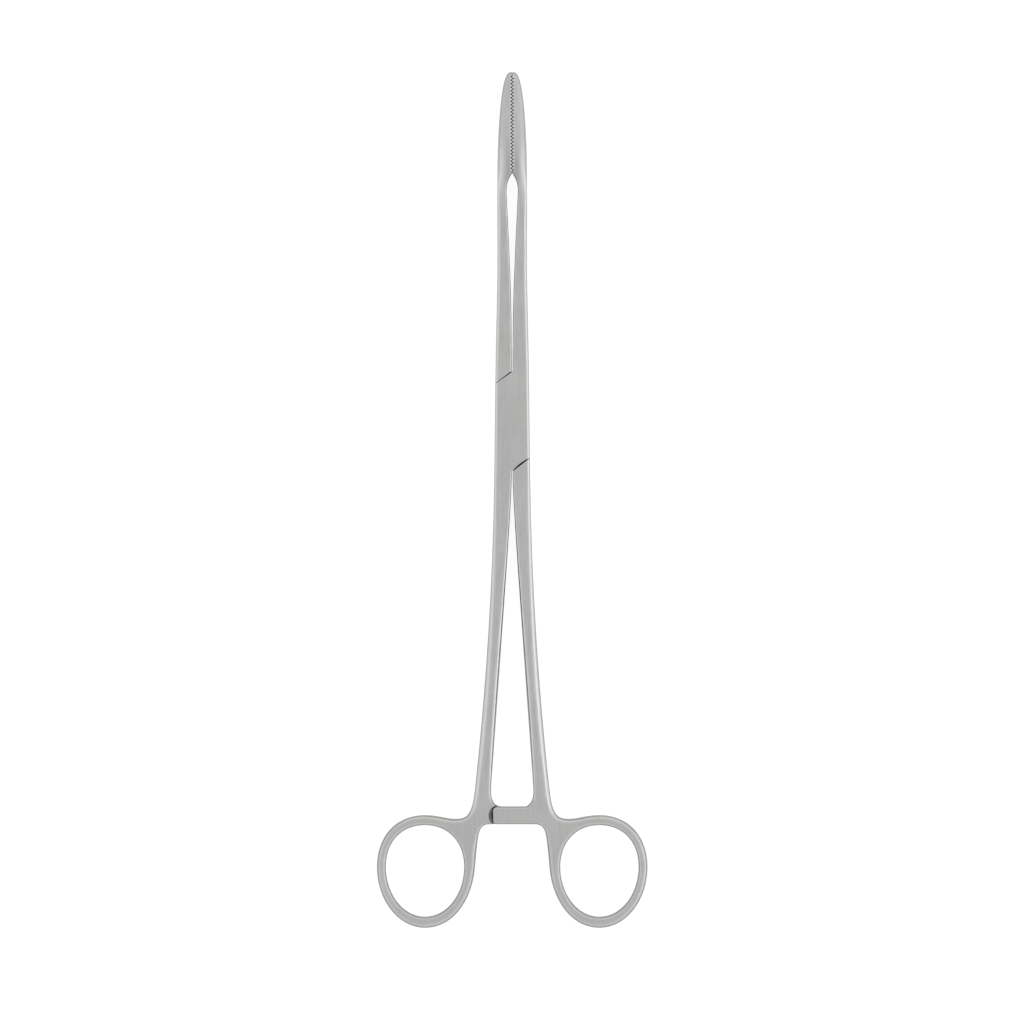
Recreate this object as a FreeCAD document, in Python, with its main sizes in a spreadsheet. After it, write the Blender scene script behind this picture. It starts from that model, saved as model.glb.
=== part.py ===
"""Sponge holding forceps with a box lock, closed, lying on its back. Millimetres.

X runs to the right, Y runs from the pivot to the jaw tips, Z is up through the thickness.
The origin is on the pivot axis, on the back face of the lock. One side of the closed
instrument is drawn, rounded and given its jaw. Half a turn about the long axis makes the
other side, and the lock then parts and joins the two sides into the two real halves.
"""
import FreeCAD, Part
import Sketcher
import math
import os

from FreeCAD import Vector

doc = FreeCAD.newDocument("sponge_holding_forceps")
sheet = doc.addObject("Spreadsheet::Sheet", "sizes")

SIZES = [
    # lock
    ("lock_length", 32.8, "straight part of the lock, along Y"),
    ("lock_width", 10.5, "width of the lock at the pivot"),
    ("lock_taper", 0.2, "the lock is this much wider at its lower end on each side"),
    ("lock_thickness", 6.2, "front face to back face"),
    ("tongue_thickness", 2.6, "middle layer that passes through the slot"),
    ("slot_play", 0.05, "clearance above and below the tongue, and at its edges"),
    ("opening_angle", 47.0, "degrees between closed and the stop"),
    ("seam_angle", 37.5, "slope of the shoulder lines across the lock, degrees"),
    ("seam_inset", 1.0, "a shoulder line meets the middle this far inside the lock's end"),
    ("seam_gap", 0.5, "open joint at the upper shoulder, at the middle of the lock"),
    ("seam_end_gap", 0.15, "the same joint at the side of the lock"),
    ("lens_gap", 0.7, "open joint at the lower shoulder, at its widest"),
    ("pin_diameter", 3.2, "pivot pin"),
    ("pin_head_diameter", 4.2, "swaged ends of the pin, flush with the plates"),
    ("pin_head_depth", 0.6, "depth of the swaged cone"),
    ("pin_play", 0.04, "radial running clearance of the tongue on the pin"),
    # upper shanks
    ("waist_width", 8.94, "across both upper shanks at the narrowest place"),
    ("waist_place", 0.64, "where that is, as a share of the way from the lock to the fork"),
    ("shank_thickness", 5.3, "upper shanks where they meet the jaws"),
    ("fork_width", 3.44, "widest place of the gap between the upper shanks"),
    ("fork_depth", 6.3, "from the head of that gap to its widest place"),
    ("slit_run", 4.0, "the slit goes on this far past the lock"),
    ("slit_width", 0.3, "narrow end of the gap, at the lock"),
    # jaws
    ("jaw_reach", 106.1, "from the pivot to the jaw tips"),
    ("jaw_length", 30.7, "serrated jaws, from the tips to the head of the gap"),
    ("jaw_width", 9.1, "across both jaws at the heel"),
    ("jaw_tip_thickness", 3.1, "near the tips"),
    ("jaw_swell", 1.09, "place where the jaws stop widening, as a share of their length"),
    ("facet_fade", 2.2, "the shank's flat face runs out on the jaw within a few times this"),
    ("tooth_pitch", 1.07, "cross serrations"),
    ("tooth_depth", 0.8, "of a groove, to where two sharp teeth would end"),
    ("tooth_blunt", 0.26, "ground off the tip of each tooth"),
    ("tooth_gap", 0.12, "between the closed jaws"),
    # handles
    ("ring_reach", 135.4, "from the pivot to the widest line of the finger rings"),
    ("ring_step", 4.88, "from the shank's inner edge out to the ring's inner side"),
    ("ring_hole_width", 23.8, "finger ring, inside"),
    ("ring_hole_top", 12.7, "finger ring, inside, above its widest line"),
    ("ring_hole_bottom", 15.2, "finger ring, inside, below its widest line"),
    ("ring_side_wall", 2.7, "outer side of the ring"),
    ("ring_top_wall", 3.0, "upper side of the ring"),
    ("ring_bottom_wall", 3.3, "lower side of the ring"),
    ("ring_inner_wall", 3.3, "side of the ring that carries on the shank"),
    ("ring_saddle", 1.15, "dip of the ring's outer edge beside the shank"),
    ("ring_neck", 8.2, "height of the web between the shank and the ring"),
    ("ring_thickness", 4.3, "ring and lower end of the shank, front to back"),
    ("shank_out", 11.3, "outer edge of the lower shank above the ring, from the middle"),
    ("shank_in", 6.42, "inner edge of the lower shank above the ratchet, from the middle"),
    ("outer_flare", 0.108, "sideways run of that outer edge for each millimetre down"),
    ("inner_flare", 0.072, "the same for the inner edge"),
    # ratchet
    ("ratchet_rise", 15.65, "from the widest line of the rings up to the ratchet bars"),
    ("ratchet_width", 5.3, "each bar, along Y"),
    ("ratchet_overhang", 5.97, "each bar ends this far past the middle"),
    ("ratchet_clearance", 0.1, "between the tips of the two rows of ratchet teeth"),
    ("ratchet_tooth_pitch", 1.5, "ratchet teeth, along X"),
    ("ratchet_tooth_depth", 0.55, "ratchet teeth"),
    ("ratchet_teeth", 5, "on each bar"),
    ("pocket_play", 1.25, "room around the end of the other bar in its pocket"),
    # ground edges
    ("inner_round", 0.55, "inner edges of the upper shanks and of the lock"),
    ("ratchet_round", 0.7, "edges of the ratchet bars"),
    ("outer_share", 0.21, "outer edges of lock and upper shanks, of the shank's thickness"),
    ("crown_share", 0.443, "where the shank runs into the round jaw, of the same thickness"),
    ("handle_share", 0.4, "outer edges at the lower ends of the shanks, of their thinner side"),
    ("grip_share", 0.22, "inner edges at the lower ends of the shanks, of their thinner side"),
    ("ring_share", 0.52, "outer edge of the finger rings, of their thinnest wall"),
    ("hole_share", 0.38, "inner edge of the finger rings, of the same wall"),
]

for row, (alias, value, note) in enumerate(SIZES, start=1):
    sheet.set(f"A{row}", alias)
    sheet.set(f"B{row}", str(value))
    sheet.set(f"C{row}", note)
    sheet.setAlias(f"B{row}", alias)
doc.recompute()


def size(alias):
    return float(sheet.get(alias))


MIDDLE = size("lock_thickness") / 2
LOCK_END = size("lock_length") / 2
HEEL = size("jaw_reach") - size("jaw_length")
FORK_Y = HEEL - size("fork_depth")
JAW_ROOT = HEEL + 3 * size("inner_round")
SLIT_TOP = LOCK_END + size("slit_run")
SLIT_HALF = size("slit_width") / 2
SEAM_HEIGHT = LOCK_END - size("seam_inset")
SLIT_END = SEAM_HEIGHT - size("seam_gap")
RING_Y = -size("ring_reach")
RING_X = (size("shank_in") + size("ring_step") + size("ring_inner_wall")
          + size("ring_hole_width") / 2)
RING_TOP = RING_Y + size("ring_hole_top") + size("ring_top_wall")
SHANK_END = RING_TOP + size("ring_neck")
RATCHET_Y = RING_Y + size("ratchet_rise")
RATCHET_LOW = RATCHET_Y - size("ratchet_width") / 2
RATCHET_HIGH = RATCHET_Y + size("ratchet_width") / 2
RIM = min(size(f"ring_{place}_wall") for place in ("side", "top", "bottom", "inner"))
CLOSE = 0.001

# Past every face, side and end of the instrument
FULL = 3 * size("lock_thickness")
BEYOND = 2 * RING_X
FAR = size("jaw_reach") + 2 * size("ring_reach")

# Handles of a cubic curve, as shares of the distance that it covers: a quarter of a circle
# takes 0.5523, a fuller or slacker bend more or less. The shares typed in the outline's own
# functions below are such handles too, or places along the way.
QUARTER = 0.5523
FULLER = 0.6
THIRD = 1 / 3


# Curve helpers
def point(x, y, z=0.0):
    return Vector(x, y, z)


def blend(first, pull_first, pull_last, last):
    """Cubic curve from first to last, leaving and arriving along the two pulls."""
    curve = Part.BezierCurve()
    curve.setPoles([first, pull_first, pull_last, last])
    return curve.toShape()


def corner(first, via, last, fullness=QUARTER):
    """Round turn from first to last, under the corner point via."""
    return blend(first, first + (via - first) * fullness, last + (via - last) * fullness, last)


def line(first, last):
    return Part.LineSegment(first, last).toShape()


def prism(edges, low, high):
    """Closed outline in the XY plane, extruded from Z low to Z high."""
    face = Part.Face(Part.Wire(Part.__sortEdges__(edges)))
    solid = face.extrude(Vector(0, 0, high - low))
    solid.translate(Vector(0, 0, low))
    return solid


def polygon(points):
    return [line(a, b) for a, b in zip(points, points[1:] + points[:1])]


def box_between(low, high):
    span = high - low
    return Part.makeBox(span.x, span.y, span.z, low)


# Plan of the right side, from the jaw heel down the outer edge and back up the inner one
def lock_side(y):
    """Half width of the lock: it widens a little towards its lower end."""
    return size("lock_width") / 2 - size("lock_taper") * y / LOCK_END


def jaw_side(s):
    """Half width of the jaws at the distance s from the tips: a blunt, full curve."""
    part = min(s / (size("jaw_swell") * size("jaw_length")), 1.0)
    return size("jaw_width") / 2 * (1 - (1 - part) ** 1.8) ** THIRD


def upper_side():
    """From the jaw heel past the fork and the waist to the lock, then the side of the lock."""
    root = point(jaw_side(size("jaw_reach") - JAW_ROOT), JAW_ROOT)
    fork = point(jaw_side(size("jaw_reach") - FORK_Y), FORK_Y)
    waist = point(size("waist_width") / 2, LOCK_END + size("waist_place") * (FORK_Y - LOCK_END))
    shoulder = point(lock_side(LOCK_END), LOCK_END)
    bottom = point(lock_side(-LOCK_END), -LOCK_END)
    heel_pull = point(0, THIRD * (root.y - fork.y))
    fork_pull = point(0, THIRD * (fork.y - waist.y))
    waist_pull = point(0, THIRD * (waist.y - shoulder.y))
    lock_pull = (shoulder - bottom) * (THIRD * (waist.y - shoulder.y) / size("lock_length"))
    return [
        blend(root, root - heel_pull, fork + heel_pull, fork),
        blend(fork, fork - fork_pull, waist + fork_pull, waist),
        blend(waist, waist - waist_pull, shoulder + lock_pull, shoulder),
        line(shoulder, bottom),
    ]


def shank_outer():
    """Outer edge of the lower shank: straight out of the lock, then flaring to the ring."""
    run = -LOCK_END - SHANK_END
    start = point(lock_side(-LOCK_END), -LOCK_END)
    end = point(size("shank_out"), SHANK_END)
    lean = size("lock_taper") / LOCK_END
    return blend(start, start + point(lean, -1) * run * THIRD,
                 end - point(size("outer_flare"), -1) * run * THIRD, end)


def shank_inner():
    """Inner edge of the lower shank, from above the ratchet up to the slit in the lock."""
    run = -LOCK_END - SHANK_END
    start = point(size("shank_in"), SHANK_END)
    end = point(SLIT_HALF, -LOCK_END)
    return blend(start, start + point(-size("inner_flare"), 1) * 0.53 * run,
                 end - point(0, 0.084 * run), end)


def ring_side():
    """From the lower shank round the outside of the finger ring to the foot of the ratchet bar."""
    half = size("ring_hole_width") / 2
    start = point(size("shank_out"), SHANK_END)
    step = RING_X - start.x
    saddle = point(start.x + 0.38 * step, RING_TOP - size("ring_saddle"))
    top = point(RING_X, RING_TOP)
    side = point(RING_X + half + size("ring_side_wall"), RING_Y)
    bottom = point(RING_X, RING_Y - size("ring_hole_bottom") - size("ring_bottom_wall"))
    inner = point(RING_X - half - size("ring_inner_wall"), RING_Y)
    foot = point(1.08 * size("shank_in"), RATCHET_LOW)
    neck = start.y - saddle.y
    heel = inner + point(0.2 * (foot.x - inner.x), 0.66 * (foot.y - inner.y))
    down = start + point(size("outer_flare"), -1) * 0.79 * neck
    inner_pull = point(-0.07, 1) * THIRD * (heel.y - inner.y)
    heel_pull = point(-0.125, 1) * THIRD * (heel.y - inner.y)
    rise = 0.64 * (foot.y - heel.y) / heel_pull.y
    return [
        blend(start, down, saddle - point(0.25 * step, 0), saddle),
        blend(saddle, saddle + point(0.22 * step, 0), top - point(0.27 * step, 0), top),
        corner(top, point(side.x, top.y), side, FULLER),
        corner(side, point(side.x, bottom.y), bottom),
        blend(bottom, bottom + point(FULLER * (inner.x - bottom.x), 0),
              inner - point(-0.07, 1) * 0.5 * (inner.y - bottom.y), inner),
        blend(inner, inner + inner_pull, heel - heel_pull, heel),
        blend(heel, heel + heel_pull * rise, foot + point(0.66 * (heel.x - foot.x), 0), foot),
    ]


def ratchet_side():
    """Round the ratchet bar, from its foot out to the free end and back to the shank."""
    turn = 0.2 * size("ratchet_width")
    end = -size("ratchet_overhang")
    foot = point(1.08 * size("shank_in"), RATCHET_LOW)
    root = point(0.5 * size("shank_in"), RATCHET_HIGH)
    shank = point(size("shank_in"), SHANK_END)
    low_corner, high_corner = point(end, RATCHET_LOW), point(end, RATCHET_HIGH)
    along, up = point(turn, 0), point(0, turn)
    shank_pull = point(size("inner_flare"), -1) * 0.62 * (shank.y - root.y)
    return [
        line(foot, low_corner + along),
        corner(low_corner + along, low_corner, low_corner + up),
        line(low_corner + up, high_corner - up),
        corner(high_corner - up, high_corner, high_corner + along),
        line(high_corner + along, root),
        blend(root, root + point(0.7 * (shank.x - root.x), 0), shank + shank_pull, shank),
    ]


def crotch(sign):
    """Closed round end of a slit in the lock, at the upper or the lower shoulder."""
    diagonal = SLIT_HALF * math.sin(math.pi / 4)
    return Part.Arc(point(0, sign * (SLIT_END - SLIT_HALF)),
                    point(diagonal, sign * (SLIT_END - diagonal)),
                    point(SLIT_HALF, sign * SLIT_END)).toShape()


def gap_side():
    """Edge of the gap from the slit in the lock up to the head of the fork."""
    slit_top = point(SLIT_HALF, SLIT_TOP)
    fork = point(size("fork_width") / 2, FORK_Y)
    head = point(size("tooth_gap") / 2, HEEL)
    run = fork.y - slit_top.y
    lean = point(1.5 * (fork.x - slit_top.x) / run, 1)
    return [
        line(point(SLIT_HALF, SLIT_END), slit_top),
        blend(slit_top, slit_top + point(0, 0.36 * run), fork - lean * 0.36 * run, fork),
        blend(fork, fork + lean * 0.55 * size("fork_depth"),
              point(FULLER * fork.x, HEEL - 0.27 * size("fork_depth")), head),
    ]


def ring_hole():
    half, top, bottom = size("ring_hole_width") / 2, size("ring_hole_top"), size("ring_hole_bottom")
    centre = point(RING_X, RING_Y)
    right = [
        corner(centre + point(0, top), centre + point(half, top), centre + point(half, 0), FULLER),
        corner(centre + point(half, 0), centre + point(half, -bottom), centre + point(0, -bottom)),
    ]
    return right + [edge.mirror(centre, Vector(1, 0, 0)) for edge in right]


# Front face seen from the side
def front_space():
    """Everything between the middle plane and the front face: flat at the lock, slimmer to
    both ends, and drawn in the YZ plane."""
    lock, ring = size("lock_thickness") / 2, size("ring_thickness") / 2
    shank = size("shank_thickness") / 2
    low_run = 0.4 * (-LOCK_END - SHANK_END)
    high_run = FORK_Y - LOCK_END
    far = RING_Y - size("ring_hole_bottom") - 2 * size("ring_bottom_wall")
    places = [(far, ring), (SHANK_END, ring), (-LOCK_END, lock), (LOCK_END, lock),
              (FORK_Y, shank), (JAW_ROOT, shank)]
    ends = [point(0, y, z) for y, z in places]
    edges = [
        line(ends[0], ends[1]),
        blend(ends[1], ends[1] + point(0, low_run), ends[2] - point(0, low_run), ends[2]),
        line(ends[2], ends[3]),
        blend(ends[3], ends[3] + point(0, 0.3 * high_run), ends[4] - point(0, 0.4 * high_run),
              ends[4]),
        line(ends[4], ends[5]),
        line(ends[5], point(0, JAW_ROOT)),
        line(point(0, JAW_ROOT), point(0, far)),
        line(point(0, far), ends[0]),
    ]
    space = Part.Face(Part.Wire(edges)).extrude(Vector(2 * BEYOND, 0, 0))
    space.translate(Vector(-BEYOND, 0, MIDDLE))
    return space


upper = upper_side()
lower = shank_outer()
ring = ring_side()
bar = ratchet_side()
inner = shank_inner()
gap = gap_side()
hole = ring_hole()
slit = [line(point(SLIT_HALF, -LOCK_END), point(SLIT_HALF, -SLIT_END)), crotch(-1), crotch(1)]
jaw_face = size("tooth_gap") / 2
closing = [
    line(point(0, SLIT_HALF - SLIT_END), point(0, SLIT_END - SLIT_HALF)),
    line(point(jaw_face, HEEL), point(jaw_face, JAW_ROOT)),
    line(point(jaw_face, JAW_ROOT), point(jaw_side(size("jaw_reach") - JAW_ROOT), JAW_ROOT)),
]
outline = upper + [lower] + ring + bar + [inner] + slit + gap + closing
front_prism = prism(outline, MIDDLE, MIDDLE + FULL).cut(prism(hole, MIDDLE, MIDDLE + FULL))
front_blank = doc.addObject("Part::Feature", "front_blank")
front_blank.Shape = front_prism.common(front_space())


# Ground and polished edges: each round is a share of the wall that it lies on
def edge_rounds():
    """Each outer and inner edge of the outline with the radius of its round at both ends."""
    thinner = min(size("ring_thickness"), size("shank_out") - size("shank_in"))
    crown = size("crown_share") * size("shank_thickness")
    edge = size("outer_share") * size("shank_thickness")
    handle, grip = size("handle_share") * thinner, size("grip_share") * thinner
    around, fine, small = size("ring_share") * RIM, size("inner_round"), size("ratchet_round")
    waning = (3 * around + small) / 4
    rounds = [(upper[0], crown, edge)] + [(item, edge, edge) for item in upper[1:]]
    rounds += [(lower, edge, handle), (ring[0], handle, around)]
    rounds += [(item, around, around) for item in ring[1:5]]
    rounds += [(ring[5], around, waning), (ring[6], waning, small)]
    rounds += [(item, small, small) for item in bar[:-1]]
    rounds += [(bar[-1], small, grip), (inner, grip, fine)]
    return rounds + [(item, fine, fine) for item in slit + gap]


def fillet_rows(solid, rounds):
    """Row of edge number and two radii for each front edge that lies over an outline edge."""
    rows = []
    for number, edge in enumerate(solid.Edges, start=1):
        ends = [edge.valueAt(edge.FirstParameter), edge.valueAt(edge.LastParameter)]
        half = edge.valueAt((edge.FirstParameter + edge.LastParameter) / 2)
        upright = math.hypot(ends[0].x - ends[1].x, ends[0].y - ends[1].y) < CLOSE
        if upright or half.z < MIDDLE + CLOSE:
            continue
        spot = Part.Vertex(point(half.x, half.y))
        for outline_edge, first, last in rounds:
            if outline_edge.distToShape(spot)[0] < CLOSE:
                start = outline_edge.valueAt(outline_edge.FirstParameter)
                near = point(ends[0].x, ends[0].y).distanceToPoint(start)
                far = point(ends[1].x, ends[1].y).distanceToPoint(start)
                rows.append((number, first, last) if near < far else (number, last, first))
                break
    return rows


def rounded(name, base, rounds):
    item = doc.addObject("Part::Fillet", name)
    item.Base = base
    item.Edges = fillet_rows(base.Shape, rounds)
    doc.recompute()
    return item


hole_radius = size("hole_share") * RIM
hole_rounded = rounded("hole_rounded", front_blank, [(item, hole_radius, hole_radius) for item in hole])
front_rounded = rounded("front_rounded", hole_rounded, edge_rounds())


# Jaws, front half: they grow out of the rounded end of the shank
JAW_RUN = size("jaw_reach") - JAW_ROOT
JAW_CROWN = size("crown_share") * size("shank_thickness")
STATION_PARTS = (0.93, 0.85, 0.75, 0.6, 0.42, 0.26, 0.14, 0.065, 0.025, 0.005)


def jaw_height(s):
    """Half thickness of the jaws at the distance s from the tips: a taper with a round nose."""
    heel, tip = size("shank_thickness") / 2, size("jaw_tip_thickness") / 2
    nose = 1 - (1 - min(s / (1.2 * tip), 1.0)) ** 2.2
    return (tip + (heel - tip) * s / JAW_RUN) * (0.5 + 0.5 * nose)


def jaw_flat(s):
    """Width of the flat face that is left beside the teeth. It leaves the shank in line with
    the shank's own facet and dies away towards the tips."""
    edge = size("outer_share") * size("shank_thickness")
    root = jaw_side(JAW_RUN) - JAW_CROWN
    narrow = 0.08 * jaw_side(s)
    gone = (JAW_RUN - s) / size("facet_fade")
    closing = (JAW_CROWN - edge) / (JAW_ROOT - FORK_Y)
    keep = 1 - closing * size("facet_fade") / (root - narrow)
    return narrow + (root - narrow) * (1 + keep * gone) * math.exp(-gone)


def jaw_section(s):
    """Closed front half of the right jaw's section at the distance s from the tips."""
    y, wide, high = size("jaw_reach") - s, jaw_side(s), jaw_height(s)
    side = high * (1 - 2 * size("crown_share"))
    top_in, top_out = point(jaw_face, y, high), point(jaw_flat(s), y, high)
    side_top, side_foot = point(wide, y, side), point(wide, y)
    foot_in = point(jaw_face, y)
    section = Part.Wire([
        line(foot_in, top_in),
        line(top_in, top_out),
        corner(top_out, point(wide, y, high), side_top),
        line(side_top, side_foot),
        line(side_foot, foot_in),
    ])
    section.translate(Vector(0, 0, MIDDLE))
    return section


cap = [face for face in front_rounded.Shape.Faces if abs(face.CenterOfMass.y - JAW_ROOT) < CLOSE][0]
sections = [cap.OuterWire] + [jaw_section(JAW_RUN * part) for part in STATION_PARTS]
front_jaw = Part.makeLoft(sections, True, False)
front_side = front_rounded.Shape.fuse(front_jaw)

# The serrations pass the middle by part of their depth, so the jaw gets that much stock.
tooth_reach = size("tooth_depth") / 2
tooth_crest = tooth_reach - size("tooth_blunt")
strip = box_between(point(-tooth_reach, HEEL, MIDDLE), point(jaw_face, FAR, MIDDLE + FULL))
across = front_side.mirror(point(jaw_face, 0), Vector(1, 0, 0))
front_stock = front_side.fuse(across.common(strip))
back_stock = front_stock.mirror(Vector(0, 0, MIDDLE), Vector(0, 0, 1))
side_stock = front_stock.fuse(back_stock)


def serration_cutter(first_side):
    """Everything on the far side of the toothed face of the right jaw. Each groove runs out to
    a sharp bottom, and each tooth is ground off at its crest."""
    half_pitch = size("tooth_pitch") / 2
    swing = 2 * tooth_reach
    crest_half = half_pitch * size("tooth_blunt") / swing
    start, stop = HEEL + half_pitch, size("jaw_reach") - size("tooth_pitch")
    steps = 2 * int((stop - start) / size("tooth_pitch"))
    low, high = HEEL - size("fork_depth"), FAR
    face = [point(jaw_face, low), point(jaw_face, start)]
    side = first_side
    for step in range(steps):
        y = start + (step + 0.5) * half_pitch
        if side > 0:
            face.append(point(jaw_face + tooth_reach, y))
        else:
            face += [point(jaw_face - tooth_crest, y - crest_half),
                     point(jaw_face - tooth_crest, y + crest_half)]
        side = -side
    face += [point(jaw_face, start + steps * half_pitch), point(jaw_face, high)]
    outside = [point(-size("jaw_width"), high), point(-size("jaw_width"), low)]
    return prism(polygon(face + outside), MIDDLE - FULL, MIDDLE + FULL)


# Ratchet
def bar_relief():
    """Space for the other bar: behind the bar, ending in a round pocket in the shank."""
    base = MIDDLE + size("ratchet_clearance") / 2 + size("ratchet_tooth_depth")
    low = MIDDLE - FULL
    radius = (size("ratchet_width") + size("pocket_play")) / 2
    centre_x = size("ratchet_overhang") + size("pocket_play") - radius
    end = Part.makeCylinder(radius, base - low, point(centre_x, RATCHET_Y, low))
    path = box_between(point(-2 * size("ratchet_overhang"), RATCHET_LOW - radius, low),
                       point(centre_x, RATCHET_HIGH + radius, base))
    return end.fuse(path)


def ratchet_row():
    """Saw teeth under the bar: their steep faces hold the handles closed."""
    tip = MIDDLE + size("ratchet_clearance") / 2
    base = tip + size("ratchet_tooth_depth")
    pitch = size("ratchet_tooth_pitch")
    start = -size("ratchet_overhang") + size("ratchet_round")
    inside = base + size("ratchet_tooth_depth") / 2
    low = RATCHET_LOW + size("ratchet_round")
    points = [point(start, low, inside)]
    for tooth in range(int(size("ratchet_teeth"))):
        x = start + tooth * pitch
        points += [point(x, low, base), point(x + pitch, low, tip)]
    points += [point(start + size("ratchet_teeth") * pitch, low, inside)]
    face = Part.Face(Part.Wire(polygon(points)))
    return face.extrude(Vector(0, size("ratchet_width") - 2 * size("ratchet_round"), 0))


def turned(shape):
    """Half a turn about the long axis, which makes a left side from a right one."""
    copy = shape.copy()
    copy.rotate(Vector(0, 0, MIDDLE), Vector(0, 1, 0), 180)
    return copy


def feature(name, shape):
    item = doc.addObject("Part::Feature", name)
    item.Shape = shape
    return item


relief = bar_relief()
right_side = feature("right_side", side_stock.cut(serration_cutter(1).fuse(relief)))
left_side = feature("left_side", turned(side_stock.cut(serration_cutter(-1).fuse(relief))))
right_teeth = feature("right_teeth", ratchet_row())
left_teeth = feature("left_teeth", turned(ratchet_row()))


# Lock
SEAM_SLOPE = math.tan(math.radians(size("seam_angle")))
LOCK_EDGE = -size("lock_width") / 2


def seam_y(x, drop=0.0):
    return SEAM_HEIGHT + SEAM_SLOPE * x - drop


def beyond_lock():
    """Corners past the lock, where a half may reach over the middle."""
    return [point(0, 2 * LOCK_END), point(BEYOND, 2 * LOCK_END), point(BEYOND, FAR),
            point(-BEYOND, FAR)]


def shoulder_space(near, far):
    """Space beyond the upper shoulder line on the left, lowered by a gap at each of its ends."""
    slope_x = (seam_y(0, near) - seam_y(LOCK_EDGE, far)) / -LOCK_EDGE
    points = [point(0, seam_y(0, near))] + beyond_lock()
    points.append(point(-BEYOND, seam_y(0, near) - slope_x * BEYOND))
    return prism(polygon(points), MIDDLE - FULL, MIDDLE + FULL)


def lens_edge():
    """Space of the lower joint, which is widest in its middle, made on the upper left."""
    near = point(0, seam_y(0, size("seam_end_gap")))
    mid = point(LOCK_EDGE / 2, seam_y(LOCK_EDGE / 2, size("lens_gap")))
    far = point(LOCK_EDGE, seam_y(LOCK_EDGE, size("seam_end_gap")))
    past = point(-BEYOND, seam_y(-BEYOND, size("seam_end_gap")))
    corners = [near] + beyond_lock() + [past, far]
    edges = [Part.Arc(near, mid, far).toShape()]
    edges += [line(a, b) for a, b in zip(corners, corners[1:])]
    return prism(edges, MIDDLE - FULL, MIDDLE + FULL)


def point_turned(shape):
    """Half a turn about the pivot axis."""
    copy = shape.copy()
    copy.rotate(Vector(0, 0, 0), Vector(0, 0, 1), 180)
    return copy


def boolean(kind, name, base, tool):
    item = doc.addObject(f"Part::{kind}", name)
    item.Base = base
    item.Tool = tool
    return item


def bound(kind, name, **sizes):
    """Part primitive with its sizes bound to the sheet."""
    item = doc.addObject(f"Part::{kind}", name)
    for prop, expression in sizes.items():
        item.setExpression(prop, expression)
    return item


shoulder = shoulder_space(0.0, 0.0)
upper_shoulder = feature("upper_shoulder", shoulder)
lower_shoulder = feature("lower_shoulder", point_turned(shoulder))
upper_plate_edge = feature("upper_plate_edge",
                           shoulder_space(size("seam_gap"), size("seam_end_gap")))
lower_plate_edge = feature("lower_plate_edge", point_turned(lens_edge()))

# The slot is a straight band through the pivot. Its walls run from the closed ends of the slits
# to the sides of the lock, at the height where the tongue meets them at the full opening.
WALL_Y = size("lock_width") / 2 * math.tan(math.radians(size("opening_angle") / 2))
WALL_LEAN = math.degrees(math.atan2(size("lock_width") / 2, SLIT_END - WALL_Y))
BAND = size("lock_width") / 2 * SLIT_END / math.hypot(size("lock_width") / 2, SLIT_END - WALL_Y)


def place_band(item, half_width, half_height):
    """Centre a band box on the pivot and lean it over to the left."""
    item.Length = 2 * half_width
    turn = FreeCAD.Rotation(Vector(0, 0, 1), WALL_LEAN)
    low_corner = turn.multVec(Vector(-half_width, -size("lock_length"), 0))
    item.Placement = FreeCAD.Placement(low_corner + Vector(0, 0, MIDDLE - half_height), turn)


slot = bound("Box", "slot", Width="2 * sizes.lock_length",
             Height="sizes.tongue_thickness + 2 * sizes.slot_play")
place_band(slot, BAND, size("tongue_thickness") / 2 + size("slot_play"))
tongue_band = bound("Box", "tongue_band", Width="2 * sizes.lock_length",
                    Height="sizes.tongue_thickness")
place_band(tongue_band, BAND - size("slot_play"), size("tongue_thickness") / 2)

# Pivot holes
pin_hole = bound("Cylinder", "pin_hole", Radius="sizes.pin_diameter / 2",
                 Height="sizes.lock_thickness")
running_hole = bound("Cylinder", "running_hole",
                     Radius="sizes.pin_diameter / 2 + sizes.pin_play",
                     Height="sizes.lock_thickness")
back_sink = bound("Cone", "back_sink", Radius1="sizes.pin_head_diameter / 2",
                  Radius2="sizes.pin_diameter / 2", Height="sizes.pin_head_depth")
front_sink = bound("Cone", "front_sink", Radius1="sizes.pin_diameter / 2",
                   Radius2="sizes.pin_head_diameter / 2", Height="sizes.pin_head_depth")
front_sink.setExpression("Placement.Base.z", "sizes.lock_thickness - sizes.pin_head_depth")

# Half with the box: right jaw and upper shank, both plates, left lower shank with its ring
box_upper = boolean("Cut", "box_upper", right_side, lower_plate_edge)
box_lower = boolean("Cut", "box_lower", left_side, upper_plate_edge)
box_whole = boolean("Fuse", "box_whole", box_upper, box_lower)
box_slotted = boolean("Cut", "box_slotted", box_whole, slot)
box_drilled = boolean("Cut", "box_drilled", box_slotted, pin_hole)
box_back = boolean("Cut", "box_back", box_drilled, back_sink)
box_plain = boolean("Cut", "box_plain", box_back, front_sink)
box_half = boolean("Fuse", "box_half", box_plain, left_teeth)
box_half.Label = "box_half"

# Half with the tongue: left jaw and upper shank, the tongue, right lower shank with its ring
tongue_upper = boolean("Common", "tongue_upper", left_side, upper_shoulder)
tongue_lower = boolean("Common", "tongue_lower", right_side, lower_shoulder)
tongue_left = boolean("Common", "tongue_left", left_side, tongue_band)
tongue_right = boolean("Common", "tongue_right", right_side, tongue_band)
tongue_core = boolean("Fuse", "tongue_core", tongue_left, tongue_right)
tongue_bent = boolean("Fuse", "tongue_bent", tongue_core, tongue_upper)
tongue_whole = boolean("Fuse", "tongue_whole", tongue_bent, tongue_lower)
tongue_plain = boolean("Cut", "tongue_plain", tongue_whole, running_hole)
tongue_half = boolean("Fuse", "tongue_half", tongue_plain, right_teeth)
tongue_half.Label = "tongue_half"

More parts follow.
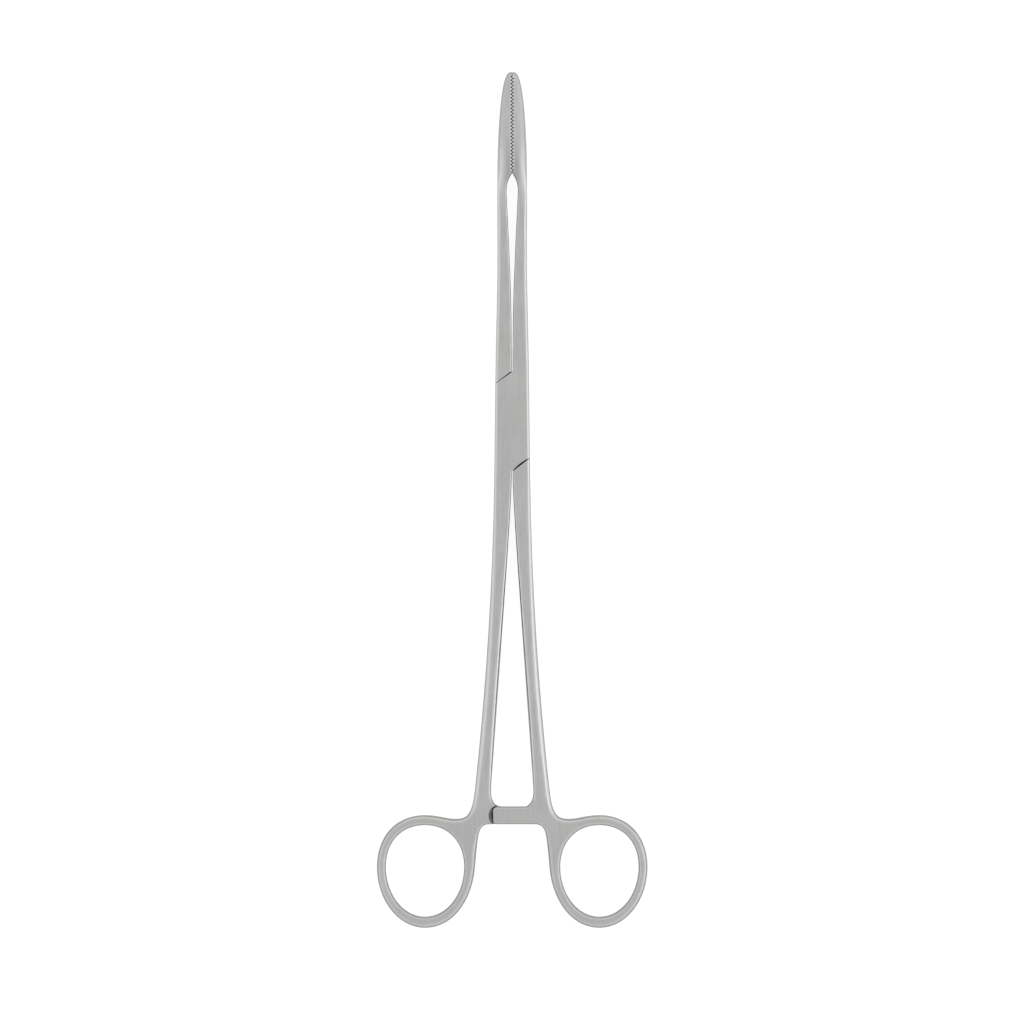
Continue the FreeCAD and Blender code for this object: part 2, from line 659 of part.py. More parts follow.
# Pivot pin, swaged into both plates and ground flush
lock_pin = doc.addObject("PartDesign::Body", "lock_pin")
lock_pin.Label = "lock_pin"
planes = {plane.Role: plane for plane in lock_pin.Origin.OriginFeatures}
profile = lock_pin.newObject("Sketcher::SketchObject", "pin_profile")
profile.AttachmentSupport = [(planes["XZ_Plane"], "")]
profile.MapMode = "FlatFace"
head_r, shaft_r = size("pin_head_diameter") / 2, size("pin_diameter") / 2
depth, thick = size("pin_head_depth"), size("lock_thickness")
pin_points = [(0, 0), (head_r, 0), (shaft_r, depth), (shaft_r, thick - depth),
              (head_r, thick), (0, thick)]
for (ax, ay), (bx, by) in zip(pin_points, pin_points[1:] + pin_points[:1]):
    profile.addGeometry(Part.LineSegment(Vector(ax, ay, 0), Vector(bx, by, 0)), False)
for index in range(len(pin_points)):
    following = (index + 1) % len(pin_points)
    profile.addConstraint(Sketcher.Constraint("Coincident", index, 2, following, 1))
profile.addConstraint(Sketcher.Constraint("Coincident", 0, 1, -1, 1))
profile.addConstraint(Sketcher.Constraint("Horizontal", 0))
profile.addConstraint(Sketcher.Constraint("Vertical", 2))
profile.addConstraint(Sketcher.Constraint("Horizontal", 4))
profile.addConstraint(Sketcher.Constraint("Vertical", 5))


def bind(kind, places, value, expression):
    number = profile.addConstraint(Sketcher.Constraint(kind, *places, value))
    profile.setExpression(f"Constraints[{number}]", expression)


bind("DistanceX", (0, 1, 0, 2), head_r, "sizes.pin_head_diameter / 2")
bind("DistanceX", (4, 2, 4, 1), head_r, "sizes.pin_head_diameter / 2")
bind("DistanceX", (0, 1, 2, 1), shaft_r, "sizes.pin_diameter / 2")
bind("DistanceY", (1, 1, 1, 2), depth, "sizes.pin_head_depth")
bind("DistanceY", (3, 1, 3, 2), depth, "sizes.pin_head_depth")
bind("DistanceY", (0, 1, 5, 1), thick, "sizes.lock_thickness")
turning = lock_pin.newObject("PartDesign::Revolution", "turning")
turning.Profile = profile
turning.ReferenceAxis = (profile, ["V_Axis"])
turning.Angle = 360
doc.recompute()

NODES = [box_half, tongue_half, lock_pin]
for item in doc.Objects:
    if "Invalid" in item.State or "Error" in item.State:
        raise RuntimeError(f"{item.Name} did not build: {item.State}")
for node in NODES:
    if node.Shape.isNull() or not node.Shape.isValid() or len(node.Shape.Solids) != 1:
        raise RuntimeError(f"{node.Label} is not one valid solid")
os.makedirs("parts", exist_ok=True)
for node in NODES:
    node.Shape.exportStep(f"parts/{node.Label}.step")
    print(node.Label, "volume", round(node.Shape.Volume, 1), "faces", len(node.Shape.Faces))
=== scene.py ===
# %% [markdown]
# # Sponge holding forceps in satin steel
#
# The real object is a steel instrument 260 mm long. Two halves cross in a box lock, end in two
# serrated jaws and carry two finger rings and a ratchet. It is shown from straight in front,
# so here it lies on its back on a white table and the camera looks straight down on it.
#
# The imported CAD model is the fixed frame: it gives the place and size of every part in metres.
# This lesson adds what CAD leaves out: the finish of ground steel, the light and the view.

# %% Load the frame
import math

import bpy
import numpy as np
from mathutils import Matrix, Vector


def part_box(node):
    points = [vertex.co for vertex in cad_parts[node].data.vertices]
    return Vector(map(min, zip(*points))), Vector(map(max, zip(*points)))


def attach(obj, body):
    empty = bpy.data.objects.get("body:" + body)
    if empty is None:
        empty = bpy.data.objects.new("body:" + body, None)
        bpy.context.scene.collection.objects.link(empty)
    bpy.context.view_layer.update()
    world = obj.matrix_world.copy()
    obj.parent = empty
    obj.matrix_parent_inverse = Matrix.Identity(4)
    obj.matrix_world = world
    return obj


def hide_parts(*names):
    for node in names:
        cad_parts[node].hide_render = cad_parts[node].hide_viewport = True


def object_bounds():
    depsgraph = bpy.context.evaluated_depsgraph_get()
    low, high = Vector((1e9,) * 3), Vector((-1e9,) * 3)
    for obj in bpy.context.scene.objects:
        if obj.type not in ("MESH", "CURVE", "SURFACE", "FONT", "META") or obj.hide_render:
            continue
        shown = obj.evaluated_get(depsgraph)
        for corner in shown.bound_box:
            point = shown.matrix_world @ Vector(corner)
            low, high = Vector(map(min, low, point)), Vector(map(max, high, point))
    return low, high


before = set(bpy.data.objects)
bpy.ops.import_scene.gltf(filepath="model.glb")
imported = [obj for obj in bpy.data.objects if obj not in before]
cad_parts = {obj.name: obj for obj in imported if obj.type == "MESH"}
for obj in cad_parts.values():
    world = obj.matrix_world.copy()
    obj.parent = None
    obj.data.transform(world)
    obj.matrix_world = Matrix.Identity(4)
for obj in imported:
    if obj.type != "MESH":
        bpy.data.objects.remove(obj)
scene = bpy.context.scene
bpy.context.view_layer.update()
MM = 0.001
print("nodes", sorted(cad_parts))


def add_to_scene(name, data):
    """A new object of that name in the scene, which shows a mesh, a lamp or a camera."""
    piece = bpy.data.objects.new(name, data)
    scene.collection.objects.link(piece)
    return piece


# %% [markdown]
# ## The camera
#
# The photograph is square and shows 312 mm of the scene, with the jaw tips up. A catalogue
# photograph like this one is taken from far away with a long lens, so that the rings and the
# tips are seen under the same angle. The camera therefore hangs 2 m above the table, and its
# lens is worked out from the width that it must show. A shorter lens nearer to the object
# would show the inner walls of the rings, which the photograph doesn't.

# %% Camera
VIEW_WIDTH = 311.6 * MM
VIEW_CENTRE = (-0.06 * MM, -27.6 * MM)
CAMERA_HEIGHT = 2.0
SENSOR = 36.0
FARTHEST_SEEN = 20.0

lens = bpy.data.cameras.new("long_lens")
lens.sensor_width = SENSOR
lens.lens = SENSOR * CAMERA_HEIGHT / VIEW_WIDTH
lens.clip_end = FARTHEST_SEEN
camera = add_to_scene("camera", lens)
camera.location = (*VIEW_CENTRE, CAMERA_HEIGHT)
scene.camera = camera
print("lens", round(lens.lens, 1), "mm")

# %% [markdown]
# ## Writing materials as sums
#
# A material is a small calculation at each point of the surface. Blender shows it as a graph
# of nodes, which is hard to read in a script. The class below wraps one socket, so that
# ordinary signs such as + and * add the Math node for us, and one method adds any other node.
#
# Most of the sums in this lesson are masks, which are 1 in one place and 0 elsewhere. Two masks
# multiplied are 1 where both are, and the sign | gives 1 where either is. A mask could change
# from 0 to 1 at once, but real finishes run into each other, so every edge here has a softness.

# %% A socket that can be calculated with
CLEAN_CUT = 0.08 * MM


class Value:
    """One output socket of a shader graph, with the signs of arithmetic."""

    def __init__(self, tree, socket=None):
        self.tree = tree
        self.socket = socket

    def node(self, kind, settings=None, inputs=None, output=0):
        """Adds a node of that kind: its settings first, then the values or links of its sockets."""
        made = self.tree.nodes.new(kind)
        for name, setting in (settings or {}).items():
            setattr(made, name, setting)
        for name, given in (inputs or {}).items():
            if isinstance(given, Value):
                self.tree.links.new(given.socket, made.inputs[name])
            else:
                made.inputs[name].default_value = given
        return Value(self.tree, made.outputs[output] if made.outputs else None)

    def math(self, operation, other=0.0):
        return self.node("ShaderNodeMath", {"operation": operation}, {0: self, 1: other})

    def __add__(self, other):
        return self.math("ADD", other)

    def __mul__(self, other):
        return self.math("MULTIPLY", other)

    def __sub__(self, other):
        return self.math("SUBTRACT", other)

    def __neg__(self):
        return self * -1.0

    def __rsub__(self, other):
        return -self + other

    def __abs__(self):
        return self.math("ABSOLUTE")

    def __or__(self, other):
        """The higher of the two, so for masks: 1 where either is 1."""
        return self.math("MAXIMUM", other)

    __radd__ = __add__
    __rmul__ = __mul__

    def part(self, axis):
        """The X, Y or Z of a vector."""
        return self.node("ShaderNodeSeparateXYZ", {}, {"Vector": self}, output=axis)

    def above(self, limit, soft=CLEAN_CUT):
        """0 below the limit, 1 above it, with a soft step that reaches so far to each side."""
        return self.node("ShaderNodeMapRange", {"interpolation_type": "SMOOTHSTEP"},
                         {"Value": self, "From Min": limit - soft, "From Max": limit + soft})

    def below(self, limit, soft=CLEAN_CUT):
        return 1 - self.above(limit, soft)

    def between(self, low, high):
        return self.above(low) * self.below(high)

    def mix(self, first, second):
        """The first colour where this value is 0, the second where it is 1."""
        return self.node("ShaderNodeMix", {"data_type": "RGBA"}, {0: self, 6: first, 7: second},
                         output=2)


def new_material(name):
    """An empty material, and its tree wrapped so that nodes can be added to it."""
    material = bpy.data.materials.new(name)
    material.use_nodes = True
    material.node_tree.nodes.clear()
    return material, Value(material.node_tree)


# %% [markdown]
# ## Where on the instrument are we?
#
# Steel of this kind is not finished alike everywhere. The shanks are buffed along their edges,
# and the jaws and the rings keep a duller blasted skin. The inside of the lock, the pocket of the
# ratchet and the grooves between the teeth get a painted shade, and a few more places get painted
# shade and painted highlights.
# A finish like this could be painted by hand. Here each place is told by its coordinates on
# the object, in the frame of the CAD model, so the same rule holds in every pose.
#
# From here on, x is the distance to the right of the middle line, y is the distance from the
# pivot towards the jaw tips and z is the height above the middle of the thickness. A pair of
# numbers is a soft edge: where it lies, and how far it reaches to each side.

# %% Jaws and teeth
MIDDLE = 3.1 * MM
JAW_HEEL = 75.4 * MM
JAW_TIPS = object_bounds()[1][1]
PITCH = 1.07 * MM
FIRST_TOOTH = JAW_HEEL + PITCH / 2
LAST_TOOTH = FIRST_TOOTH + PITCH * math.floor((JAW_TIPS - PITCH - FIRST_TOOTH) / PITCH)

# The zigzag of the teeth starts a quarter of a pitch before a groove's bottom, and the two jaws
# are half a pitch apart.
QUARTER = 0.25
RIGHT_JAW = 0.0
LEFT_JAW = 0.5

# The depth of a groove, the part of a blunt crest that passes the middle, and the closed seam.
GROOVE = 0.46 * MM
CREST = 0.08 * MM
SEAM = 0.06 * MM

print("jaws", round((JAW_TIPS - JAW_HEEL) / MM, 1), "mm long,",
      round((LAST_TOOTH - FIRST_TOOTH) / PITCH), "teeth a side")

# %% [markdown]
# ## Places that stay dark
# ## Painted shade in the hollows
# The inside of the lock, the pockets that take the ends of the ratchet bars, and the grooves get a
# painted shade: a dark grey in the colour stands for the shade that falls into them. The lock's
# mask is a box round its inside, together with the steep walls at the mouths of its seams. A
# pocket is round and its painted shade is darkest in its middle, because some light still falls in
# along the rim. Between the teeth the mask follows the zigzag of both jaws.

# %% Inside of the lock
LOCK_SIDE = 4.95 * MM
LOCK_DEPTH = 2.3 * MM
LOCK_END = 17.4 * MM
MOUTH_SIDE = LOCK_SIDE - 0.4 * MM
MOUTH_LEAN = (0.4, 0.2)


def in_lock(x, y, z, upright):
    """1 inside the lock and on the steep walls at the mouths of its seams, where shade is painted."""
    inside = abs(x).below(LOCK_SIDE) * abs(z).below(LOCK_DEPTH)
    mouths = abs(x).below(MOUTH_SIDE) * upright.below(*MOUTH_LEAN)
    return (inside | mouths) * abs(y).below(LOCK_END)


print("dark inside of the lock", round(2 * LOCK_END / MM, 1), "mm long")

# %% Pockets of the ratchet
POCKET_X = 3.95 * MM
POCKET_Y = -119.75 * MM
POCKET_RADIUS = 3.15 * MM
POCKET_DEPTH = 0.9 * MM
POCKET_CORE = (2.5 * MM, 0.4 * MM)
CORE_DARKNESS = 0.95
RIM_DARKNESS = 0.3


def in_pocket(x, y, z):
    """How much painted shade the ratchet's two pockets get. They are round, and the shade is lighter
    near the rim.
    """
    across, along = abs(x) - POCKET_X, y - POCKET_Y
    from_centre = (across * across + along * along).math("SQRT")
    darkness = from_centre.below(*POCKET_CORE) * (CORE_DARKNESS - RIM_DARKNESS) + RIM_DARKNESS
    return from_centre.below(POCKET_RADIUS) * abs(z).below(POCKET_DEPTH) * darkness


print("pockets", round(2 * POCKET_RADIUS / MM, 1), "mm across")

# %% Grooves and pits
GROOVES_SIDE = 0.55 * MM
GROOVES_DEPTH = (1.0 * MM, 0.3 * MM)
PIT_RIM = 0.17 * MM
PIT_SOFT = 0.03 * MM


def pits(x, y, jaw):
    """1 over the pits that the grooves of one jaw leave in front of the other jaw's teeth, and
    over a thin rim round each pit: there shade is painted as a dark dot. The groove's edge is a
    zigzag to both sides of the seam, once for each pitch, and its farthest point is the groove's
    depth."""
    swing = ((y - FIRST_TOOTH) * (1 / PITCH) - QUARTER + jaw).math("PINGPONG", 0.5)
    groove = (1 - swing * 4) * (GROOVE - SEAM) + SEAM
    return x.above(CREST - PIT_SOFT, PIT_SOFT) * (groove + PIT_RIM - x).above(0.0, PIT_SOFT)


def between_teeth(x, y, z):
    """1 deep in the grooves and over the pits that they leave at the front and the back, where shade
    is painted.
    """
    grooves = abs(x).below(GROOVES_SIDE) * abs(z).below(*GROOVES_DEPTH)
    both_jaws = pits(x, y, RIGHT_JAW) | pits(-x, y, LEFT_JAW)
    return (grooves * y.between(JAW_HEEL, LAST_TOOTH + PITCH)
            | both_jaws * y.between(FIRST_TOOTH, LAST_TOOTH))


print("pits", round((GROOVE - CREST) / MM, 2), "mm wide")

# %% [markdown]
# ## Finishes, and places with painted light and shade
#
# The shanks are buffed from the rings up to the jaws. The blasted skin of the jaws starts at an
# arc round the head of the fork, below which the shanks get a painted shade. Where the fork
# closes, at the heel of the jaws, the middle gets a painted shade and the flanks a painted
# highlight. Beside the ratchet bar more of the wall gets the painted shade of steep sides,
# because the bar keeps light away. These could be four materials, but then each border would
# be a hard line. As masks they blend into one.

# %% Skin of the jaws
ARC_CENTRE = 70.5 * MM
ARC_HALF_WIDTH = 3.6 * MM
ARC_HALF_HEIGHT = 6.8 * MM
ARC_EDGE = (1.0, 0.15)
FORK_HEAD = (ARC_CENTRE - 3 * MM, 5 * MM)


def jaw_skin(x, y):
    """1 on the jaws, 0 on the shanks. The two finishes meet in an ellipse round the fork's head."""
    across, along = x * (1 / ARC_HALF_WIDTH), (y - ARC_CENTRE) * (1 / ARC_HALF_HEIGHT)
    return (across * across + along * along).above(*ARC_EDGE) * y.above(*FORK_HEAD)


print("arc round the fork", round(2 * ARC_HALF_WIDTH / MM, 1), "mm wide")

# %% Shanks, heel, crests and bar
# Where the shanks and the heel of the jaws begin and end, along y.
SHANKS_START = (-119.0 * MM, 5 * MM)
SHANKS_END = (JAW_HEEL - 3 * MM, 6 * MM)
HEEL_START = (JAW_HEEL - 7 * MM, 5 * MM)
HEEL_END = (JAW_HEEL + 7 * MM, 6 * MM)

# How far from the middle line the flanks of the heel begin, and the crests of the teeth end.
FLANKS = (2.3 * MM, 1.1 * MM)
CRESTS = (0.68 * MM, 0.1 * MM)

# The ratchet bar with the steep walls just round it.
BAR_MIDDLE = -120.0 * MM
BAR_HALF_WIDTH = (4.8 * MM, 0.5 * MM)
BAR_REACH = (9.0 * MM, 1 * MM)


def beside_bar(x, y):
    """1 on the ratchet bar and on the walls just round it."""
    return abs(y - BAR_MIDDLE).below(*BAR_HALF_WIDTH) * abs(x).below(*BAR_REACH)


print("shanks", round((SHANKS_END[0] - SHANKS_START[0]) / MM, 1), "mm long")

# %% [markdown]
# ## Satin steel
#
# The real instrument is ground, blasted to a dull satin so that it doesn't dazzle, and lightly
# buffed at its edges. A single grey would look like plastic. What makes steel is that its
# gloss changes: the flat faces are dull and carry faint grinding lines along the instrument,
# the rounded edges are smoother and brighter where hands and cloths have rubbed them, and the
# grain of the blasting is fine everywhere.
#
# The flats are found from the direction in which the surface faces, because every flat of a
# forceps faces front or back. So no mask has to be painted, and the finish turns with the part.

# %% Colours and marks of steel
# Painted shade for the inside of the lock, the pockets and the grooves.
HOLLOW_SHADE = (0.05, 0.048, 0.045, 1)
# Painted shade for steep sides.
SIDE_SHADE = (0.33, 0.328, 0.324, 1)
SATIN = (0.615, 0.610, 0.602, 1)
# The darker end of the random tone, which is also the painted shade below the fork's head.
DARKER_TONE_AND_SHADE = (0.515, 0.510, 0.503, 1)
BUFFED = (0.590, 0.587, 0.583, 1)
JAW_SATIN = (0.655, 0.649, 0.641, 1)
# Painted highlight for the crests of the teeth.
CREST_HIGHLIGHT = (0.70, 0.695, 0.69, 1)
# Painted shade for the middle of the heel of the jaws, and painted highlight for its flanks.
HEEL_SHADE = (0.450, 0.446, 0.440, 1)
HEEL_HIGHLIGHT = (0.760, 0.755, 0.750, 1)

# The size of each kind of mark, and how many finer copies of itself it carries.
GRAIN = (0.35 * MM, 4.0)
CLOUD = (8.0 * MM, 4.0)
RUB = (1.6 * MM, 3.0)
LINE_WIDTH = 0.4 * MM
LINE_LENGTH = 10.0 * MM
LINE_DETAIL = 3.0


def noise(tree, where, size, detail):
    """Noise from -0.5 to 0.5, whose spots have about that size."""
    return tree.node("ShaderNodeTexNoise", {}, {
        "Vector": where, "Scale": 1 / size, "Detail": detail}) - 0.5


def grinding_lines(tree, place):
    """Noise from -0.5 to 0.5, stretched along the instrument."""
    stretched = tree.node("ShaderNodeMapping", {}, {
        "Vector": place, "Scale": (1 / LINE_WIDTH, 1 / LINE_LENGTH, 1 / LINE_WIDTH)})
    return noise(tree, stretched, 1.0, LINE_DETAIL)


print("grain", round(GRAIN[0] / MM, 2), "mm, clouds", round(CLOUD[0] / MM, 1), "mm")

# %% [markdown]
# ## From marks to a material
#
# The material is built in three sums. The first finds the flats, the buffed edges and the steep
# sides from the direction of the surface. The second blends the greys, from the skin through a
# painted shade on the steep sides and a painted highlight on the crests of the teeth to the painted
# shade in the hollows. The third gives the roughness and a very fine relief. The shares below say
# how much each mark counts in each sum. They were chosen by setting a render beside the photograph.

# %% Edges and shares
# The edges of a flat and of a steep side, as the share of the surface's direction that faces
# front or back. Rubbing blurs them.
FLAT = (0.945, 0.045)
STEEP = (0.74, 0.08)
RUB_BLUR = 0.02

# A side faces outward where x and its direction have one sign, so that their product is above 0.
# Such sides count as flatter, and the walls by the bar count as steeper, so the painted shade of
# steep sides covers less of the first and more of the second.
OUTWARD = (0.0, 0.5 * MM)
OUTER_LIFT = 0.19
BAR_DROP = 0.14
JAW_SIDES_LIGHTER = 0.55

# Shares in the colour, where 0 is the darker grey and 1 the satin one. The fork's share is the
# painted shade below its head, and the heel's share is how strong its painted shade and highlight are.
EVEN_SHARE = 0.5
CLOUD_SHARE = 0.9
LINES_SHARE = 1.3
GRAIN_SHARE = 1.5
FORK_SHADE = 0.45
HEEL_LIGHT_SHARE = 0.75

# Shares in the roughness and in the relief.
JAWS_ROUGHER = 0.2
CLOUD_ROUGH = 0.10
GRAIN_ROUGH = 0.12
GRAIN_RELIEF = 0.6
BUMP_STRENGTH = 0.25
BUMP_HEIGHT = 0.01 * MM

print("shares of clouds, lines and grain in the colour", CLOUD_SHARE, LINES_SHARE, GRAIN_SHARE)


# %% Steel
def steel(name, dull_rough, buffed_rough):
    """Metal that goes from the dull flats to buffed edges, with painted shade on its steep sides and
    in its hollows, and painted highlights on the teeth and the heel.
    """
    material, tree = new_material(name)
    place = tree.node("ShaderNodeTexCoord", output="Object")
    facing = tree.node("ShaderNodeTexCoord", output="Normal")
    x, y, z = place.part("X"), place.part("Y"), place.part("Z") - MIDDLE
    grain, cloud, rub = (noise(tree, place, *mark) for mark in (GRAIN, CLOUD, RUB))
    lines = grinding_lines(tree, place)

    upright = abs(facing.part("Z")) + rub * RUB_BLUR
    flat = upright.above(*FLAT)
    jaws = jaw_skin(x, y)
    shanks = y.above(*SHANKS_START) * y.below(*SHANKS_END)
    buffed = (1 - flat) * shanks
    outward = (x * facing.part("X")).above(*OUTWARD) * shanks
    leaning = upright + outward * OUTER_LIFT - beside_bar(x, y) * BAR_DROP
    # Steep sides get a painted shade: less on outward sides and on the jaws, more by the ratchet bar.
    side_shade = leaning.below(*STEEP) * (1 - jaws * JAW_SIDES_LIGHTER)

    # Below the arc round the fork's head the shanks get a painted shade.
    fork_head_shade = y.above(*FORK_HEAD) * (1 - jaws)
    uneven_and_fork_shade = (cloud * CLOUD_SHARE + lines * flat * LINES_SHARE + grain * GRAIN_SHARE
              + EVEN_SHARE - fork_head_shade * FORK_SHADE)
    skin_and_painted_light = buffed.mix(uneven_and_fork_shade.mix(DARKER_TONE_AND_SHADE, jaws.mix(SATIN, JAW_SATIN)), BUFFED)
    # The heel of the jaws gets a painted shade in the middle and a painted highlight on the flanks.
    heel_light_and_shade = y.above(*HEEL_START) * y.below(*HEEL_END) * HEEL_LIGHT_SHARE
    skin_and_painted_light = heel_light_and_shade.mix(skin_and_painted_light, abs(x).above(*FLANKS).mix(HEEL_SHADE, HEEL_HIGHLIGHT))
    # The crests of the teeth get a painted highlight.
    lit_crests = abs(x).below(*CRESTS) * y.between(FIRST_TOOTH, LAST_TOOTH)
    with_painted_sides_and_crests = lit_crests.mix(side_shade.mix(skin_and_painted_light, SIDE_SHADE), CREST_HIGHLIGHT)
    # Painted shade in the lock, the pockets and between the teeth.
    dark = in_lock(x, y, z, upright) | in_pocket(x, y, z) | between_teeth(x, y, z)
    colour = dark.mix(with_painted_sides_and_crests, HOLLOW_SHADE)

    rough = (buffed * (buffed_rough - dull_rough) + jaws * JAWS_ROUGHER + dull_rough
             + cloud * CLOUD_ROUGH + grain * GRAIN_ROUGH)
    bump = tree.node("ShaderNodeBump", {}, {
        "Strength": BUMP_STRENGTH, "Distance": BUMP_HEIGHT,
        "Height": grain * GRAIN_RELIEF + lines * flat})
    shader = tree.node("ShaderNodeBsdfPrincipled", {}, {
        "Base Color": colour, "Metallic": 1.0, "Roughness": rough, "Normal": bump})
    tree.node("ShaderNodeOutputMaterial", {}, {"Surface": shader})
    return material


satin_steel = steel("satin_steel", dull_rough=0.46, buffed_rough=0.33)
pin_steel = steel("ground_pin_steel", dull_rough=0.45, buffed_rough=0.30)
print("finishes", satin_steel.name, pin_steel.name)

# %% [markdown]
# ## The two halves
#
# Each half is forged, ground and polished from one piece of steel. Its round edges, its teeth
# and its lock are already in the CAD model, which carries the exact direction of every
# surface, so the halves stay as they are. A copy with new, worked out normals would show
# blotches beside the lock. Only their material slots get the new finish.

# %% Both halves
for node in ("box_half", "tongue_half"):
    for material_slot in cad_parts[node].material_slots:
        material_slot.material = satin_steel
    print(node, len(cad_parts[node].data.polygons), "faces in satin steel")

# %% [markdown]
# ## The pin
#
# The pivot pin is turned steel, swaged into both plates and then ground flush with them, so from
# the front it all but vanishes. A turned part is a profile carried round an axis, which is
# exactly what this grid does: one parameter goes along the profile, the other round the circle.

# %% Turn the pin
AROUND = 96
SHARP_EDGE = math.radians(32)
SHAFT_SHARE = 3.2 / 4.2
SWAGE = 0.6 * MM


def turn_on_lathe(name, profile):
    """Surface of revolution: the radius r at the height z is carried round by the angle v, so a
    point is (r cos v, r sin v, z). The first and last circle are closed with a fan to the axis."""
    radii, heights = np.array(profile).T
    angle = np.linspace(0, 2 * np.pi, AROUND, endpoint=False)
    rows = np.stack([radii[:, None] * np.cos(angle), radii[:, None] * np.sin(angle),
                     np.repeat(heights[:, None], AROUND, axis=1)], axis=2)
    corners = np.concatenate([rows.reshape(-1, 3), [[0, 0, heights[0]], [0, 0, heights[-1]]]])
    index = np.arange(len(radii) * AROUND).reshape(len(radii), AROUND)
    right = np.roll(index, -1, axis=1)
    walls = np.stack([index[:-1], right[:-1], right[1:], index[1:]], axis=2).reshape(-1, 4)
    low, high = len(corners) - 2, len(corners) - 1
    bottom = np.stack([np.full(AROUND, low), right[0], index[0]], axis=1)
    top = np.stack([np.full(AROUND, high), index[-1], right[-1]], axis=1)
    mesh = bpy.data.meshes.new(name)
    mesh.from_pydata(corners.tolist(), [], walls.tolist() + bottom.tolist() + top.tolist())
    mesh.shade_smooth()
    mesh.set_sharp_from_angle(angle=SHARP_EDGE)
    return add_to_scene(name, mesh)


top_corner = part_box("lock_pin")[1]
head = top_corner.x
shaft = head * SHAFT_SHARE
thick = top_corner.z
pin = turn_on_lathe("turned_pin", [(head, 0.0), (shaft, SWAGE), (shaft, thick - SWAGE), (head, thick)])
pin.data.materials.append(pin_steel)
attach(pin, "box_side")
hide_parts("lock_pin")
print("pin", round(2 * head / MM, 2), "mm across its heads,", round(thick / MM, 2), "mm long")

# %% [markdown]
# ## Between the teeth
#
# The closed jaws mesh like two racks, and small pits stay open between a groove and the blunt
# tooth in it. On the real jaws no light comes through them, because the grooves of the two
# jaws don't line up over the whole thickness, and so they show as a row of dark dots. In CAD
# the grooves run straight through. A web as thin as paper, halfway down and hidden from all
# sides, stops the light. It could be one box, but it has to follow both toothed faces: so it
# is worked out from the two zigzag lines. It is fixed to the right jaw and meets the left.

# %% Web between the jaws
WEB_HALF = 0.1 * MM
WEB_ROWS = 1600
WEB_START = JAW_HEEL + 0.05 * MM
WEB_END = JAW_TIPS - 0.15 * MM
WEB_ROOT = 0.05 * MM


def toothed_line(y, jaw):
    """Distance of a toothed face from the middle: a zigzag of one tooth per pitch, from the
    bottom of a groove to where a sharp crest would be, cut off at the blunt crest."""
    phase = np.abs(np.mod((y - FIRST_TOOTH) / PITCH - QUARTER + jaw, 1.0) - 0.5) * 2
    zigzag = SEAM + (2 * phase - 1) * (GROOVE - SEAM)
    on_teeth = (y > FIRST_TOOTH) & (y < LAST_TOOTH)
    return np.where(on_teeth, np.maximum(zigzag, -CREST), SEAM)


def jaw_web(name):
    """Thin plate between the two toothed lines. A point is (x, y, z): y runs along the jaws, and
    x goes from the left line (turned over, so its sign changes) to a little inside the right."""
    y = np.linspace(WEB_START, WEB_END, WEB_ROWS)
    left = -toothed_line(y, LEFT_JAW)
    right = toothed_line(y, RIGHT_JAW) + WEB_ROOT
    x = np.stack([left, right, right, left], axis=1)
    z = np.broadcast_to(MIDDLE + WEB_HALF * np.array([-1, -1, 1, 1]), x.shape)
    corners = np.stack([x, np.repeat(y[:, None], 4, axis=1), z], axis=2).reshape(-1, 3)
    index = np.arange(len(corners)).reshape(-1, 4)
    around = np.roll(index, -1, axis=1)
    walls = np.stack([index[:-1], index[1:], around[1:], around[:-1]], axis=2).reshape(-1, 4)
    ends = [index[0].tolist(), index[-1, ::-1].tolist()]
    mesh = bpy.data.meshes.new(name)
    mesh.from_pydata(corners.tolist(), [], walls.tolist() + ends)
    return add_to_scene(name, mesh)


web = jaw_web("jaw_web")
# In satin steel the web lies inside the painted shade between the teeth, so it shows dark.
web.data.materials.append(satin_steel)
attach(web, "box_side")
print("web", len(web.data.polygons), "faces")

# %% [markdown]
# ## The table
#
# The photograph's ground is pure white. A table lit to pure white would throw so much light
# back that the steel would lose its form. So this one is a dull grey that lights the steel only
# a little, and a glow that only the camera and reflections see makes it white to them.

# %% Table
HALF_TABLE = 3.0
TABLE_TOP = -0.02 * MM
TABLE_GREY = (0.22, 0.22, 0.22, 1)
TABLE_GLOW = 0.9
WHITE = (1.0, 1.0, 1.0, 1)

table_mesh = bpy.data.meshes.new("table")
table_corners = np.array([(-1, -1), (1, -1), (1, 1), (-1, 1)]) * HALF_TABLE
table_mesh.from_pydata([(x, y, TABLE_TOP) for x, y in table_corners], [], [(0, 1, 2, 3)])
table = add_to_scene("table", table_mesh)

white_table, tree = new_material("white_table")
seen, mirrored, through = (tree.node("ShaderNodeLightPath", output=f"Is {ray} Ray")
                           for ray in ("Camera", "Glossy", "Transmission"))
matt = tree.node("ShaderNodeBsdfDiffuse", {}, {"Color": TABLE_GREY})
glow = tree.node("ShaderNodeEmission", {}, {
    "Color": WHITE, "Strength": (seen + mirrored + through) * TABLE_GLOW})
both = tree.node("ShaderNodeAddShader", {}, {0: matt, 1: glow})
tree.node("ShaderNodeOutputMaterial", {}, {"Surface": both})
table.data.materials.append(white_table)
print("table", 2 * HALF_TABLE, "m square")

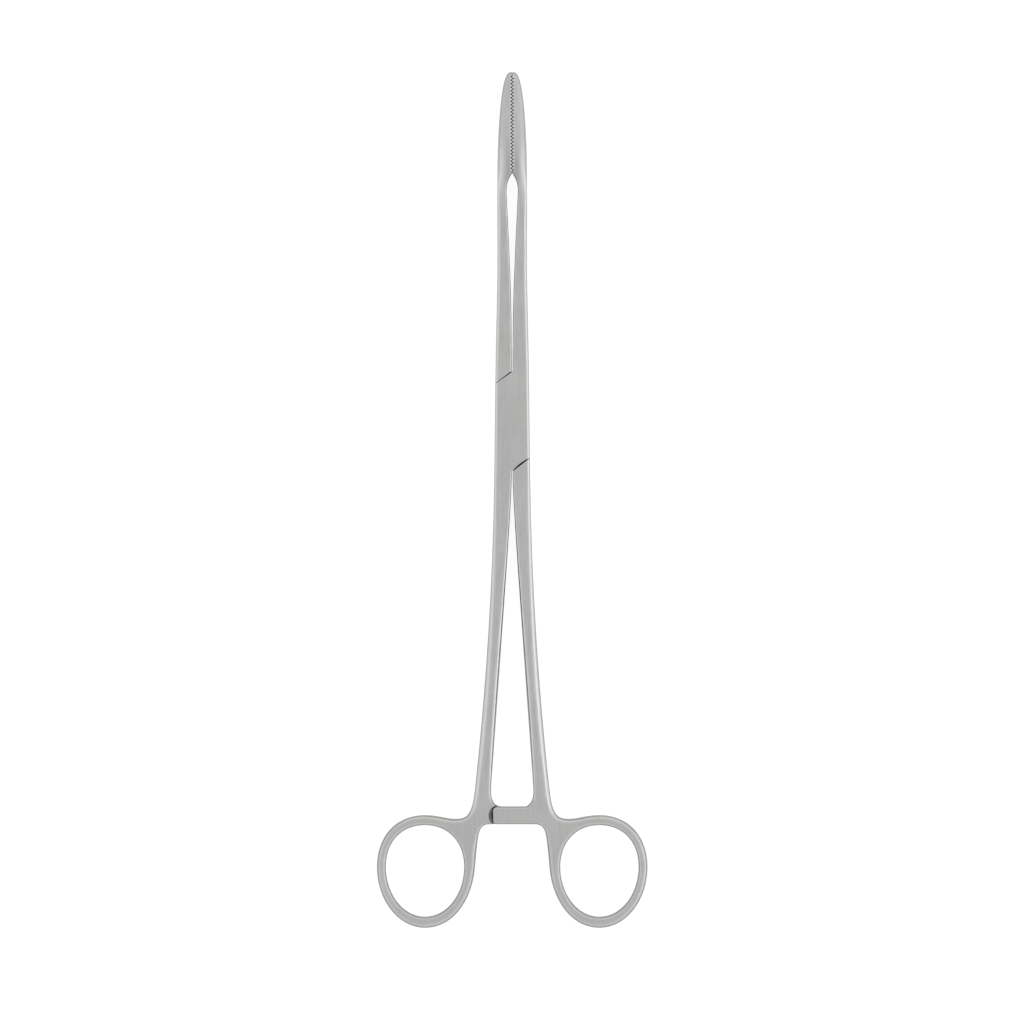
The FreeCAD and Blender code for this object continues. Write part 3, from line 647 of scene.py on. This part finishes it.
# %% [markdown]
# ## The light
#
# Steel shows what stands round it. In the photograph its flats are a mid grey and its bevels a
# little lighter: the camera stands in a dim place above, and pale walls stand on all sides. The
# right side is lit a little more. One lamp would be simpler, but it would give hard glints. So
# three broad soft boxes stand to the left, to the right and beyond the jaw tips, the right one
# stronger, and the world draws light walls under a dimmer ceiling, the left wall less light.

# %% Soft boxes
BOX_LONG = 1.4
BOX_HIGH = 0.7
BOX_AWAY = 1.3
BOX_UP = 0.6
BOX_TURNS_AND_WATTS = ((180, 0.8), (0, 1.8), (90, 0.8))

for turn, power in BOX_TURNS_AND_WATTS:
    angle = math.radians(turn)
    lamp = bpy.data.lights.new("soft_box", "AREA")
    lamp.shape = "RECTANGLE"
    lamp.size = BOX_HIGH
    lamp.size_y = BOX_LONG
    lamp.energy = power
    soft_box = add_to_scene("soft_box", lamp)
    soft_box.location = (BOX_AWAY * math.cos(angle), BOX_AWAY * math.sin(angle), BOX_UP)
    soft_box.rotation_euler = (0, math.atan2(BOX_AWAY, BOX_UP), angle)
    print("soft box", power, "W at", turn, "degrees")

# %% World
# Heights in the sky go from -1 straight down to 1 straight up, and east from -1 to 1.
WALL_FOOT = (0.08, 0.14)
WALL_TOP = (0.76, 0.18)
HORIZON = (0.1, 0.2)
LEFT_TO_RIGHT = (0.0, 0.8)
LEFT_WALL = (0.87, 0.87, 0.875, 1)
BELOW_HORIZON = (0.50, 0.50, 0.505, 1)
CEILING = (0.67, 0.67, 0.675, 1)
WORLD_STRENGTH = 1.06

world = bpy.data.worlds.new("studio")
world.use_nodes = True
world.node_tree.nodes.clear()
sky = Value(world.node_tree)
direction = sky.node("ShaderNodeTexCoord", output="Generated")
east, height = direction.part("X"), direction.part("Z")
walls = east.above(*LEFT_TO_RIGHT).mix(LEFT_WALL, WHITE)
over_and_under = height.above(*HORIZON).mix(BELOW_HORIZON, CEILING)
on_walls = height.above(*WALL_FOOT) * height.below(*WALL_TOP)
studio = sky.node("ShaderNodeBackground", {}, {
    "Color": on_walls.mix(over_and_under, walls), "Strength": WORLD_STRENGTH})
sky.node("ShaderNodeOutputWorld", {}, {"Surface": studio})
scene.world = world
scene.view_settings.view_transform = "Standard"
print("world", world.name, "at strength", WORLD_STRENGTH)
